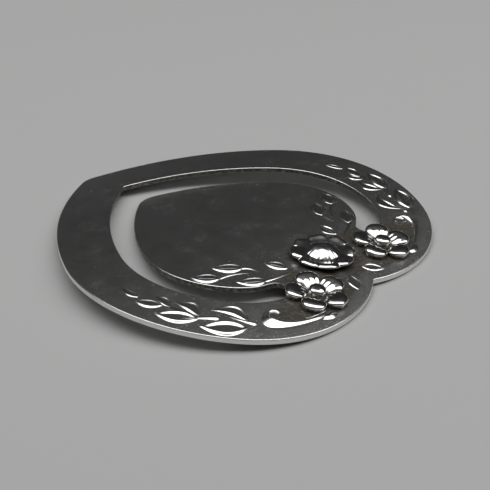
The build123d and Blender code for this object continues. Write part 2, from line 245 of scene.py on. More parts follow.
class HeartPlan:
    """The heart's arcs in plan and the arch it is bent to, worked out from the sheet's sizes"""

    def __init__(self, scene):
        sizes = scene.bookmark_sheet
        self.sizes = sizes
        self.relief = scene.bookmark_relief
        self.side_r = sizes.heart_width / 2 - sizes.side_centre_x
        self.lobe_r = self.side_r - sizes.lobe_step
        self.flank_r = self.side_r + sizes.flank_step
        lobe_shift = polar(sizes.lobe_step, sizes.lobe_join)
        flank_shift = polar(-sizes.flank_step, sizes.flank_join)
        lobe_rise = lobe_shift.y + self.lobe_r
        tip_run = sqrt((self.flank_r - sizes.tip_radius) ** 2 - (sizes.side_centre_x + flank_shift.x) ** 2)
        self.half_length = (lobe_rise + sizes.tip_radius + tip_run - flank_shift.y) / 2
        self.side_centre = Vector((sizes.side_centre_x, self.half_length - lobe_rise, 0))
        self.lobe_centre = self.side_centre + lobe_shift
        self.flank_centre = self.side_centre + flank_shift
        self.cleft_angle = acos(-self.lobe_centre.x / self.lobe_r)
        self.cleft_y = self.lobe_centre.y + self.lobe_r * sin(self.cleft_angle)
        self.arch_z = -sqrt(sizes.arch_radius**2 - self.half_length**2)
        self.top_r = sizes.arch_radius + sizes.thickness
        self.middle_r = sizes.arch_radius + sizes.thickness / 2
        slot_middle = sizes.border + sizes.slot / 2
        self.slot_end = self.lobe_point(sizes.slot_end, slot_middle)
        self.neck_y = self.slot_end.y
        self.neck_z = self.arch_z + sqrt(self.middle_r**2 - self.neck_y**2)
        # The seam lies just behind the bend
        self.seam_y = self.neck_y + 0.6 * sizes.neck_bend

    def rim_point(self, angle, inset):
        """Gives a plan point inset from the side arc of the outline."""
        return self.side_centre + polar(self.side_r - inset, angle)

    def lobe_point(self, angle, inset):
        """Gives a plan point inset from the lobe arc of the outline."""
        return self.lobe_centre + polar(self.lobe_r - inset, angle)

    def side_blossom(self):
        """Gives the plan point under the middle of the right side blossom."""
        relief = self.relief
        return self.lobe_point(pi / 2, relief.blossom_margin + relief.petal_radius + relief.petal_ring)

    def centre_blossom(self):
        """Gives the plan point under the middle of the centre blossom."""
        return Vector((0, self.neck_y - self.relief.centre_offset, 0))

    def on_face(self, point, height):
        """Gives the point that stands at a height on the upper face over a plan point."""
        rise = sqrt(self.top_r**2 - point.y**2)
        normal = Vector((0, point.y, rise)) / self.top_r
        return Vector((point.x, point.y, self.arch_z + rise)) + normal * height

    def seat(self, point):
        """Gives the matrix that seats a flat ornament on the upper face over a plan point."""
        rise = sqrt(self.top_r**2 - point.y**2)
        tilt = Matrix.Rotation(-atan2(point.y, rise), 4, "X")
        return Matrix.Translation(self.on_face(point, 0)) @ tilt

    def droop(self, share=1.0):
        """Gives the matrix that sets the tongue down about the neck."""
        neck = Vector((0, self.neck_y, self.neck_z))
        turn = Matrix.Rotation(self.sizes.droop * share, 4, "X")
        return Matrix.Translation(neck) @ turn @ Matrix.Translation(-neck)


# Drawing with mesh operators


def spin_arc(bm, vert, centre, turn):
    """Draws an arc of edges from a vertex around a centre and gives its last vertex."""
    steps = max(4, round(abs(turn) * (vert.co - centre).length / ARC_STEP))
    arc = bmesh.ops.spin(bm, geom=[vert], cent=centre, axis=UP, angle=turn, steps=steps)
    return next(part for part in arc["geom_last"] if isinstance(part, bmesh.types.BMVert))


def draw_half_heart(bm, plan, vert, inset, tip_r):
    """Draws the right half of the heart, inset from its outline, from a lobe's vertex to the axis."""
    sizes = plan.sizes
    start = vert.co - plan.lobe_centre
    tip_y = plan.flank_centre.y - sqrt((plan.flank_r - inset - tip_r) ** 2 - plan.flank_centre.x**2)
    tip_turn = atan2(tip_y - plan.flank_centre.y, -plan.flank_centre.x)
    vert = spin_arc(bm, vert, plan.lobe_centre, sizes.lobe_join - atan2(start.y, start.x))
    vert = spin_arc(bm, vert, plan.side_centre, sizes.flank_join - sizes.lobe_join)
    vert = spin_arc(bm, vert, plan.flank_centre, tip_turn - sizes.flank_join)
    vert = spin_arc(bm, vert, Vector((0, tip_y, 0)), -pi / 2 - tip_turn)
    vert.co.x = 0


def round_rim(bm, faces, radius):
    """Rounds the rim of a flat region by small insets that rise, and adds one flat inset that holds it."""
    steps = 3
    for step in range(steps):
        low = pi / 2 * step / steps
        high = pi / 2 * (step + 1) / steps
        bmesh.ops.inset_region(
            bm,
            faces=faces,
            thickness=radius * (cos(low) - cos(high)),
            depth=radius * (sin(high) - sin(low)),
            use_boundary=True,
            use_even_offset=True,
        )
    bmesh.ops.inset_region(bm, faces=faces, thickness=radius, use_boundary=True, use_even_offset=True)


def cut_levels(plan):
    """Gives the levels at which the sheet is cut in strips, which are closer at the neck."""
    strips = 54
    bend_steps = 10
    bend = plan.sizes.neck_bend
    levels = [plan.half_length * (2 * step / strips - 1) for step in range(1, strips)]
    levels += [plan.neck_y + bend * (step / bend_steps - 0.5) for step in range(bend_steps + 1)]
    return levels + [plan.seam_y]


def pierced_sheet(plan):
    """Draws the flat sheet with its slot, gives it thickness and rounded edges, and cuts it in strips."""
    sizes = plan.sizes
    bm = bmesh.new()
    inner = bm.verts.layers.float.new("inner")
    draw_half_heart(bm, plan, bm.verts.new((0, plan.cleft_y, 0)), 0, sizes.tip_radius)
    outer_rim = set(bm.verts)
    slot_start = bm.verts.new(plan.lobe_point(sizes.slot_end, sizes.border))
    slot_turn = spin_arc(bm, slot_start, plan.slot_end, pi)
    draw_half_heart(bm, plan, slot_start, sizes.border, sizes.slot_tip_radius)
    draw_half_heart(bm, plan, slot_turn, sizes.border + sizes.slot, sizes.tongue_tip_radius)
    for vert in bm.verts:
        vert[inner] = 0.0 if vert in outer_rim else 1.0
    bmesh.ops.mirror(bm, geom=bm.verts[:] + bm.edges[:], axis="X", merge_dist=1e-6)
    bmesh.ops.triangle_fill(bm, use_beauty=True, edges=bm.edges[:], normal=UP)
    under = bm.faces[:]
    half_wall = sizes.thickness / 2 - sizes.edge_round
    bmesh.ops.translate(bm, verts=bm.verts[:], vec=(0, 0, -half_wall))
    lifted = bmesh.ops.extrude_face_region(bm, geom=under)["geom"]
    top_verts = [part for part in lifted if isinstance(part, bmesh.types.BMVert)]
    bmesh.ops.translate(bm, verts=top_verts, vec=(0, 0, 2 * half_wall))
    bmesh.ops.recalc_face_normals(bm, faces=bm.faces[:])
    for side in (1, -1):
        round_rim(bm, [face for face in bm.faces if face.normal.z * side > 0.9], sizes.edge_round)
    for level in cut_levels(plan):
        geom = bm.verts[:] + bm.edges[:] + bm.faces[:]
        bmesh.ops.bisect_plane(bm, geom=geom, dist=MERGE, plane_co=(0, level, 0), plane_no=(0, 1, 0))
    wall = bm.faces.layers.float.new("wall")
    # Painted shade: the walls round the slot and the tongue get a mask that darkens them, as if shaded inside
    # the slot
    shade_and_patina = bm.faces.layers.float.new("shade_and_patina")
    bm.normal_update()
    for face in bm.faces:
        face[wall] = 1 - abs(face.normal.z)
        face[shade_and_patina] = smoothstep((face[wall] - 0.3) / 0.5) * min(vert[inner] for vert in face.verts)
    return bm


def linked_faces(seed):
    """Gives all faces that hang together with one face."""
    found = {seed}
    waiting = [seed]
    while waiting:
        for edge in waiting.pop().edges:
            for face in edge.link_faces:
                if face not in found:
                    found.add(face)
                    waiting.append(face)
    return found


def part_at_neck(bm, plan, keep_tongue):
    """Parts the sheet behind the neck, keeps the tongue or the frame, and closes the cut."""

    def on_seam(vert):
        return abs(vert.co.y - plan.seam_y) < 2 * MERGE and abs(vert.co.x) < plan.slot_end.x

    seam = [edge for edge in bm.edges if all(on_seam(vert) for vert in edge.verts)]
    bmesh.ops.split_edges(bm, edges=seam)
    before = Vector((0, plan.seam_y - 5 * MM, 0))
    front = min(bm.faces, key=lambda face: (face.calc_center_median() - before).length)
    tongue = linked_faces(front)
    waste = [face for face in bm.faces if (face in tongue) != keep_tongue]
    bmesh.ops.delete(bm, geom=waste, context="FACES")
    bmesh.ops.holes_fill(bm, edges=[edge for edge in bm.edges if edge.is_boundary], sides=0)


def bend_sheet(bm, plan, drooped):
    """Bends the flat sheet to its arch, and sets the tongue down in front of its neck."""
    bend = plan.sizes.neck_bend
    for vert in bm.verts:
        y = vert.co.y
        vert.co.z = plan.arch_z + sqrt((plan.middle_r + vert.co.z) ** 2 - y**2)
        if drooped:
            share = smoothstep((plan.neck_y - y) / bend + 0.5)
            vert.co = plan.droop(share) @ vert.co


def revolve(bm, shares, reach, rise, steps):
    """Turns a profile about the vertical axis to a closed form and gives its vertices.

    The points of the profile are shares of a radius and of a height, the reach and the rise.
    """
    old = set(bm.verts)
    verts = [bm.verts.new((reach * part, 0, rise * lift)) for part, lift in shares]
    edges = [bm.edges.new(pair) for pair in zip(verts, verts[1:])]
    bmesh.ops.spin(bm, geom=verts + edges, cent=(0, 0, 0), axis=UP, angle=2 * pi, steps=steps, use_merge=True)
    turned = [vert for vert in bm.verts if vert not in old]
    bmesh.ops.remove_doubles(bm, verts=turned, dist=MERGE)
    return [vert for vert in bm.verts if vert not in old]


def raised_strip(bm, along, across, place):
    """Adds a raised strip: a grid is lifted off its base, and each point goes where a function puts it.

    The function takes shares along (0 to 1) and across (-1 to 1) and gives the foot and the height.
    """
    base = bmesh.ops.create_grid(bm, x_segments=along, y_segments=across, size=1)["verts"]
    faces = list({face for vert in base for face in vert.link_faces})
    lifted = bmesh.ops.extrude_face_region(bm, geom=faces)["geom"]
    top = [part for part in lifted if isinstance(part, bmesh.types.BMVert)]
    for vert in base:
        foot, _ = place((vert.co.x + 1) / 2, vert.co.y)
        vert.co = (foot.x, foot.y, -ROOT_DEPTH)
    for vert in top:
        foot, height = place((vert.co.x + 1) / 2, vert.co.y)
        vert.co = (foot.x, foot.y, height)


def across_of(run):
    """Gives the plan vector to the left of a run, of length 1."""
    return Vector((-run.y, run.x, 0)).normalized()


def run_at(path, share):
    """Gives the way that a path runs at a share of its length."""
    step = 0.01
    return path(min(share + step, 1.0)) - path(max(share - step, 0.0))


def path_through(first, middle, last):
    """Gives the path from a first to a last point that passes a middle point halfway."""
    control = 2 * middle - (first + last) / 2
    return lambda share: first * (1 - share) ** 2 + control * 2 * share * (1 - share) + last * share**2


def add_leaf(bm, base, tip, width, left, right, bend=0.0, vein=0.0, fall=1.0):
    """Adds one almond leaf, dished between a left and a right rim, drawn flat between two plan points.

    A rim is (outer flank, inner flank, slope), with the flanks in shares of half the leaf's width.
    The rims fall away towards the leaf's ends, faster with a larger fall.
    """
    run = tip - base
    aside = across_of(run)
    half = width / 2
    sunk = 0.02 * MM
    fade = 0.25
    spine_width = 0.12 * MM

    def ridge(rim, depth, rest):
        outer, inner, slope = rim
        rise = max(min(depth / outer, 1 + (outer - depth) / inner), 0.0)
        return slope * max(outer, inner) * sin(pi / 2 * rise) ** 2 * smoothstep(rest / fade)

    def place(along, across):
        outline = sin(pi * along**0.85) ** 0.85 if 0 < along < 1 else 0.0
        sway = 4 * bend * run.length * along * (1 - along)
        foot = base + run * along + aside * (sway + across * half * outline)
        depth = outline * (1 - across)
        rest = outline * (1 + across)
        crest = half * outline**fall * max(ridge(left, depth, rest), ridge(right, rest, depth))
        ends = smoothstep(3 * along) * smoothstep(3 - 3 * along)
        spine = vein * hump(across * half * outline, 0, spine_width) * ends
        edge = sunk * (2 * min(min(depth, rest) / fade, 1.0) - 1)
        return foot, crest + spine + edge

    raised_strip(bm, along=36, across=44, place=place)


def add_stem(bm, path, width, height):
    """Adds a rounded stem along a path that gives a plan point for each share of its length."""
    taper = 0.45

    def place(along, across):
        fine = (1 - (1 - taper) * along) * sqrt(min(0.05 + 6 * along, 1.0))
        foot = path(along) + across_of(run_at(path, along)) * across * width / 2 * fine
        return foot, height * fine**2 * cos(pi / 2 * across) ** 2

    raised_strip(bm, along=36, across=10, place=place)


def lay_on_face(bm, plan):
    """Lays a flat drawing with heights on the arched upper face."""
    for vert in bm.verts:
        vert.co = plan.on_face(vert.co, vert.co.z)


# Finishes


class NodeBench:
    """Adds nodes to the tree of a material or a world and links them"""

    def __init__(self, owner):
        owner.use_nodes = True
        self.tree = owner.node_tree

    def feed(self, node, inputs):
        """Sets inputs of a node to values, or links them to sockets."""
        for key, value in inputs.items():
            if isinstance(value, bpy.types.NodeSocket):
                self.tree.links.new(value, node.inputs[key])
            else:
                node.inputs[key].default_value = value

    def add(self, kind, inputs, **settings):
        """Adds a node with its inputs and settings."""
        node = self.tree.nodes.new("ShaderNode" + kind)
        for key, value in settings.items():
            setattr(node, key, value)
        self.feed(node, inputs)
        return node

    def math(self, operation, first, second=0.5):
        """Adds a math node and gives its value."""
        return self.add("Math", {0: first, 1: second}, operation=operation).outputs[0]

    def ramp(self, value, low, high, start=0.0, end=1.0):
        """Adds a clamped linear map and gives its value."""
        inputs = {"Value": value, "From Min": low, "From Max": high, "To Min": start, "To Max": end}
        return self.add("MapRange", inputs).outputs[0]

    def distance(self, point, middle):
        """Adds the distance between two points and gives its value."""
        return self.add("VectorMath", {0: point, 1: middle}, operation="DISTANCE").outputs["Value"]

    def noise(self, coords, cells, turn=0.0):
        """Adds a noise, stretched and turned in plan, and gives its value."""
        mapped = self.add("Mapping", {"Vector": coords, "Rotation": (0, 0, turn), "Scale": cells})
        inputs = {"Vector": mapped.outputs[0], "Scale": 1.0, "Detail": 3.0, "Roughness": 0.6}
        return self.add("TexNoise", inputs).outputs[0]


def sheet_stain(bench, flat, cloud, plan):
    """Gives the cloudy stain on the sheet around the blossoms, the cleft and the scrolls."""
    spots = (
        (plan.side_blossom(), 5.2 * MM),
        (plan.centre_blossom(), 4.6 * MM),
        (Vector((0, plan.cleft_y - 2.5 * MM, 0)), 2.0 * MM),
        (plan.lobe_point(radians(62), plan.relief.scroll_inset + 0.8 * MM), 2.8 * MM),
    )
    fade_out = 0.8 * MM
    fade_in = 1.4 * MM
    stain = 0.0
    for middle, reach in spots:
        spot = bench.ramp(bench.distance(flat, middle), reach + fade_out, reach - fade_in)
        stain = bench.math("MAXIMUM", stain, spot)
    return bench.ramp(bench.math("ADD", stain, bench.math("MULTIPLY", cloud, 1.6)), 1.0, 1.5)


def rubbed_lobes(bench, flat, y, plan):
    """Gives the band along the rim of the lobes that is rubbed clean."""
    rim = bench.ramp(bench.distance(flat, plan.lobe_centre), plan.lobe_r - 1.7 * MM, plan.lobe_r - 0.4 * MM)
    lobe_y = plan.lobe_centre.y
    return bench.math("MULTIPLY", rim, bench.ramp(y, lobe_y + 3 * MM, lobe_y + 9 * MM))


def silver_finish(name, finish, gloss, plan, stained):
    """Makes rubbed silver with fine scratches, a stain around the ornaments, and patina with painted shade in
    its recesses, on its walls and under its relief.
    """
    grain_turn = radians(52)
    cross_turn = radians(-18)
    cross_share = 0.45
    recess_reach = 1.1 * MM
    wear = 0.07
    wall_rough = 0.4
    darkened_rough = 0.1
    rubbed_rough = 0.022
    relief_scratch = 0.3
    bench = NodeBench(bpy.data.materials.new(name))
    coords = bench.add("TexCoord", {}).outputs["Object"]
    grain = bench.noise(coords, GRAIN_CELLS, grain_turn)
    cross = bench.noise(coords, CROSS_CELLS, cross_turn)
    cloud = bench.noise(coords, CLOUD_CELLS)
    speck = bench.noise(coords, SPECK_CELLS)
    scratches = bench.math("ADD", grain, bench.math("MULTIPLY", bench.ramp(cross, 0.62, 0.7), cross_share))
    depth = finish.scratch_depth * (1.0 if stained else relief_scratch)
    # Painted shade with patina: ambient occlusion darkens recesses and places near other parts or the table,
    # except on walls
    open_sky = bench.add("AmbientOcclusion", {"Distance": recess_reach}, samples=8).outputs["AO"]
    # The mesh's own mask: painted shade on walls, undercuts and pits, with patina in the hollows
    shade_and_patina = bench.add("Attribute", {}, attribute_name="shade_and_patina").outputs["Fac"]
    wall = bench.add("Attribute", {}, attribute_name="wall").outputs["Fac"]
    shade = bench.math("MULTIPLY", bench.ramp(open_sky, 0.86, 0.42), bench.math("SUBTRACT", 1.0, wall))
    dark = bench.math("MAXIMUM", shade, shade_and_patina)
    worn = bench.ramp(cloud, 0.3, 0.7, gloss * (1 - wear), gloss * (1 + wear))
    rough = bench.math("MAXIMUM", worn, bench.math("MULTIPLY", wall, wall_rough))
    if stained:
        place = bench.add("SeparateXYZ", {"Vector": coords}).outputs
        aside = bench.math("ABSOLUTE", place["X"])
        flat = bench.add("CombineXYZ", {"X": aside, "Y": place["Y"], "Z": 0.0}).outputs[0]
        rubbed = rubbed_lobes(bench, flat, place["Y"], plan)
        stain = sheet_stain(bench, flat, cloud, plan)
        dark = bench.math("MAXIMUM", dark, bench.math("MULTIPLY", stain, bench.math("SUBTRACT", 1.0, rubbed)))
        rough = bench.math("ADD", rough, bench.math("MULTIPLY", rubbed, rubbed_rough))
        scratches = bench.math("ADD", scratches, bench.noise(coords, PIT_CELLS))
    dark = bench.math("MULTIPLY", dark, bench.ramp(speck, 0.25, 0.55, 0.6, 1.0))
    rough = bench.math("ADD", rough, bench.math("MULTIPLY", dark, darkened_rough))
    colours = {"Factor": dark, "A": (*finish.silver, 1), "B": (*finish.tarnish_and_shade, 1)}
    colour = bench.add("Mix", colours, data_type="RGBA")
    shine = bench.math("MULTIPLY", bench.math("SUBTRACT", 1.0, dark), sum(finish.silver))
    dull = bench.math("MULTIPLY", dark, sum(finish.tarnish_and_shade))
    bump = bench.add("Bump", {"Strength": 0.6, "Distance": depth, "Height": scratches})
    surface = {
        "Metallic": bench.math("DIVIDE", shine, bench.math("ADD", shine, dull)),
        "Base Color": colour.outputs["Result"],
        "Roughness": rough,
        "Normal": bump.outputs["Normal"],
    }
    bench.feed(bench.tree.nodes["Principled BSDF"], surface)


def finish_for(slot):
    """Gives the finish of a slot, made when it is first asked for."""
    name = slot + "_finish"
    if name not in bpy.data.materials:
        scene = bpy.context.scene
        finish = scene.bookmark_finish
        gloss = {"silver_sheet": finish.satin, "silver_leaf": finish.rubbed, "silver_blossom": finish.polish}
        stained = slot == "silver_sheet"
        silver_finish(name, finish, gloss[slot], HeartPlan(scene), stained)
    return bpy.data.materials[name]


def linked(name, data):
    """Makes an object of a mesh, a light or a camera and links it to the scene."""
    thing = bpy.data.objects.new(name, data)
    bpy.context.scene.collection.objects.link(thing)
    return thing


def meshed(bm, name, material):
    """Makes an object of a drawing and a material."""
    mesh = bpy.data.meshes.new(name)
    bm.to_mesh(mesh)
    bm.free()
    mesh.materials.append(material)
    return linked(name, mesh)


def finished(bm, name, slot, node):
    """Makes a piece of a drawing with the finish for its slot, and hides the node it stands for."""
    bmesh.ops.remove_doubles(bm, verts=bm.verts[:], dist=MERGE)
    bmesh.ops.recalc_face_normals(bm, faces=bm.faces[:])
    piece = meshed(bm, name, finish_for(slot))
    piece.data.shade_smooth()
    piece.data.set_sharp_from_angle(angle=SHARP_ANGLE)
    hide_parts(node)
    return piece


def mirrored(bm):
    """Gives a copy of a drawing, turned over to the left side."""
    other = bm.copy()
    bmesh.ops.scale(other, vec=(-1, 1, 1), verts=other.verts[:])
    bmesh.ops.reverse_faces(other, faces=other.faces[:])
    return other


def both_sides(bm, name, slot, body, suffix=""):
    """Makes the left and the right piece of one drawing, riding on a body."""
    for side, mesh in (("left", mirrored(bm)), ("right", bm)):
        node = f"{name}_{side}{suffix}"
        piece = finished(mesh, node + "_silver", slot, node)
        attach(piece, body)


# Operators


class BOOKMARK_OT_frame_sheet(bpy.types.Operator):
    """Makes the heart-shaped border and its lobe end from pierced sheet"""

    bl_idname = "bookmark.frame_sheet"
    bl_label = "Frame Sheet"

    def execute(self, context):
        plan = HeartPlan(context.scene)
        bm = pierced_sheet(plan)
        part_at_neck(bm, plan, keep_tongue=False)
        bend_sheet(bm, plan, drooped=False)
        piece = finished(bm, "frame_sheet", "silver_sheet", "heart_frame")
        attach(piece, "frame")
        return {"FINISHED"}


class BOOKMARK_OT_tongue_sheet(bpy.types.Operator):
    """Makes the tongue with the neck that bends between it and the frame"""

    bl_idname = "bookmark.tongue_sheet"
    bl_label = "Tongue Sheet"

    def execute(self, context):
        plan = HeartPlan(context.scene)
        bm = pierced_sheet(plan)
        part_at_neck(bm, plan, keep_tongue=True)
        bend_sheet(bm, plan, drooped=True)
        piece = finished(bm, "tongue_sheet", "silver_sheet", "page_tongue")
        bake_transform(piece)
        return {"FINISHED"}


def add_petal(bm, relief, number):
    """Adds one cushioned petal that slopes down to its base, which points to the origin."""
    radius = relief.petal_radius
    height = relief.petal_height
    roll = 3.2
    rim_lift = 0.45
    crown_lift = 0.55
    base_width = 0.78
    widening = 0.22
    notch_depth = 0.05
    ridge_height = 0.035
    lean_rise = 0.05
    steps = 18
    turns = [pi / 2 * step / steps for step in range(steps + 1)]
    shares = [(sin(turn) ** (2 / roll), rim_lift + crown_lift * cos(turn) ** (2 / roll)) for turn in turns]
    shares += [(0.985, 0.35), (0.96, 0.25), (0.93, 0.1), (0.92, -0.15), (0, -0.15)]
    shade_and_patina = bm.verts.layers.float.get("shade_and_patina")
    petal = revolve(bm, shares, radius, height, steps=64)
    for vert in petal:
        out = vert.co.x / radius
        side = vert.co.y / radius
        share = vert.co.z / height
        notch = 1 - notch_depth * hump(atan2(side, out), 0.2 * sin(3 * number), 0.3) * hypot(out, side)
        slope = 1 - 0.2 * smoothstep((0.6 - out) / 1.2) - 0.45 * smoothstep((-0.1 - out) / 0.9)
        ridges = ridge_height * cos(13 * side + number) * hump(out, -0.4, 0.35)
        lean = lean_rise * side * sin(2.4 * number + 1)
        vert.co.x *= notch
        vert.co.y *= (base_width + widening * smoothstep((out + 1.1) / 1.4)) * notch
        # Painted shade with patina: the petal's lower part, its wall and undercut, is darkened
        vert[shade_and_patina] = 1 - smoothstep((share - 0.3) / 0.2)
        if share > 0:
            vert.co.z = height * share * (slope + ridges + lean)
        vert.co.x += relief.petal_ring
    return petal


def blossom_bead(relief):
    """Gives a side blossom's bead and the fluted collar around it, standing on the origin."""
    reach = relief.bead_radius
    rise = relief.bead_height
    flute_count = 30
    flute_height = 0.05
    dent_depth = 0.03
    dent_cells = 2600
    shares = (
        (0, 1.0), (0.3, 0.995), (0.5, 0.98), (0.64, 0.95), (0.75, 0.905), (0.85, 0.84), (0.93, 0.75),
        (0.98, 0.64), (1.0, 0.52), (1.0, 0.3), (1.1, 0.27), (1.3, 0.27), (1.55, 0.3), (1.6, 0.2),
        (1.6, -0.1), (0, -0.1),
    )
    bm = bmesh.new()
    shade_and_patina = bm.verts.layers.float.new("shade_and_patina")
    for vert in revolve(bm, shares, reach, rise, steps=120):
        share = hypot(vert.co.x, vert.co.y) / reach
        flutes = hump(share, 1.3, 0.25) * cos(flute_count * atan2(vert.co.y, vert.co.x))
        # Painted shade with patina: the bead's lower part and the pit round it are darkened
        vert[shade_and_patina] = 1 - smoothstep((vert.co.z / rise - 0.4) / 0.2)
        if vert.co.z > 0:
            dents = noise.noise(vert.co * dent_cells) if share < 1 else 0.0
            vert.co.z += rise * (flute_height * flutes + dent_depth * dents)
    return bm


class BOOKMARK_OT_side_blossoms(bpy.types.Operator):
    """Makes the two side blossoms of cushioned petals and the beads in their middle"""

    bl_idname = "bookmark.side_blossoms"
    bl_label = "Side Blossoms"

    def execute(self, context):
        plan = HeartPlan(context.scene)
        relief = plan.relief
        seat = plan.seat(plan.side_blossom())
        petals = bmesh.new()
        petals.verts.layers.float.new("shade_and_patina")
        for number in range(relief.petal_count):
            petal = add_petal(petals, relief, number)
            turn = relief.petal_start + 2 * pi * number / relief.petal_count
            bmesh.ops.rotate(petals, verts=petal, cent=(0, 0, 0), matrix=Matrix.Rotation(turn, 3, "Z"))
        bmesh.ops.transform(petals, matrix=seat, verts=petals.verts[:])
        both_sides(petals, "blossom", "silver_blossom", "frame")
        bead = blossom_bead(relief)
        bmesh.ops.transform(bead, matrix=seat, verts=bead.verts[:])
        both_sides(bead, "blossom", "silver_blossom", "frame", suffix="_bead")
        return {"FINISHED"}


def ruffled_ring(relief):
    """Gives the centre blossom's ring of ruffled petals, standing on the origin."""
    reach = relief.ruffle_radius
    rise = relief.ruffle_height
    notch_depth = 0.1
    notch_drop = 0.32
    shares = (
        (0, 0.7), (0.5, 0.7), (0.58, 0.72), (0.66, 0.77), (0.72, 0.83), (0.77, 0.9), (0.82, 0.95),
        (0.88, 0.96), (0.92, 0.945), (0.95, 0.9), (0.975, 0.83), (0.993, 0.74), (1.0, 0.65),
        (0.985, 0.55), (0.95, 0.42), (0.9, 0.25), (0.87, 0), (0.86, -0.1), (0, -0.1),
    )
    bm = bmesh.new()
    shade_and_patina = bm.verts.layers.float.new("shade_and_patina")
    for vert in revolve(bm, shares, reach, rise, steps=160):
        angle = atan2(vert.co.y, vert.co.x)
        # Painted shade with patina: the lower part under the ruffles is darkened
        vert[shade_and_patina] = 1 - smoothstep((vert.co.z / rise - 0.48) / 0.16)
        share = smoothstep((hypot(vert.co.x, vert.co.y) / reach - 0.5) / 0.5)
        notch = 1 - abs(cos(angle * relief.ruffle_count / 2)) ** 0.6
        flutter = 0.06 * sin(3 * angle + 1) + 0.04 * sin(13 * angle)
        reduced = 1 - share * (notch_depth * notch + 0.3 * flutter)
        vert.co.x *= reduced
        vert.co.y *= reduced
        if vert.co.z > 0:
            vert.co.z *= 1 - share * (notch_drop * notch + flutter)
        if vert.co.y > relief.centre_offset:
            vert.co.z = max(vert.co.z, relief.neck_relief)
    return bm


def centre_dome(relief):
    """Gives the centre blossom's dome with its flutes and dents, standing on the origin."""
    reach = relief.dome_radius
    rise = relief.dome_height
    foot = 0.46
    under = 0.36
    flute_count = 24
    flute_height = 0.02
    dent_depth = 0.03
    dent_cells = 1500
    steps = 14
    parts = [step / steps for step in range(steps + 1)]
    shares = [(part, foot + (1 - foot) * (1 - part**2.3)) for part in parts]
    shares += [(1.0, under), (0, under)]
    bm = bmesh.new()
    for vert in revolve(bm, shares, reach, rise, steps=96):
        share = hypot(vert.co.x, vert.co.y) / reach
        flutes = flute_height * cos(flute_count * atan2(vert.co.y, vert.co.x)) * hump(share, 0.95, 0.2)
        if vert.co.z > 0.4 * rise:
            vert.co.z += rise * (flutes + dent_depth * noise.noise(vert.co * dent_cells))
    return bm


class BOOKMARK_OT_centre_blossom(bpy.types.Operator):
    """Makes the ruffled blossom over the neck and its domed middle"""

    bl_idname = "bookmark.centre_blossom"
    bl_label = "Centre Blossom"

    def execute(self, context):
        plan = HeartPlan(context.scene)
        relief = plan.relief
        seat = plan.droop() @ plan.seat(plan.centre_blossom())
        ring = ruffled_ring(relief)
        bmesh.ops.transform(ring, matrix=seat, verts=ring.verts[:])
        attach(finished(ring, "centre_blossom_silver", "silver_blossom", "centre_blossom"), "tongue")
        dome = centre_dome(relief)
        bmesh.ops.transform(dome, matrix=seat, verts=dome.verts[:])
        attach(finished(dome, "centre_dome_silver", "silver_blossom", "centre_blossom_dome"), "tongue")
        return {"FINISHED"}


class BOOKMARK_OT_rim_sprays(bpy.types.Operator):
    """Makes the leaf sprays that run down the border from the lobes"""

    bl_idname = "bookmark.rim_sprays"
    bl_label = "Rim Sprays"

    def execute(self, context):
        plan = HeartPlan(context.scene)
        relief = plan.relief
        border = plan.sizes.border

        def border_point(place):
            return plan.rim_point(radians(place[0]), place[1] * border)

        bm = bmesh.new()
        for *places, height in RIM_STEMS:
            stem = path_through(*[border_point(place) for place in places])
            add_stem(bm, stem, relief.stem_width, height * relief.stem_height)
        broad = relief.leaf_rim
        narrow = 0.6 * relief.leaf_rim
        for base, tip, width, bend, outer, inner in RIM_LEAVES:
            left = (broad, narrow, outer * relief.leaf_slope)
            right = (narrow, broad, inner * relief.leaf_slope)
            fall = 1.0 if bend > 0 else 3.0
            add_leaf(bm, border_point(base), border_point(tip), width * border, left, right, bend, fall=fall)
        lay_on_face(bm, plan)
        both_sides(bm, "rim_spray", "silver_leaf", "frame")
        return {"FINISHED"}


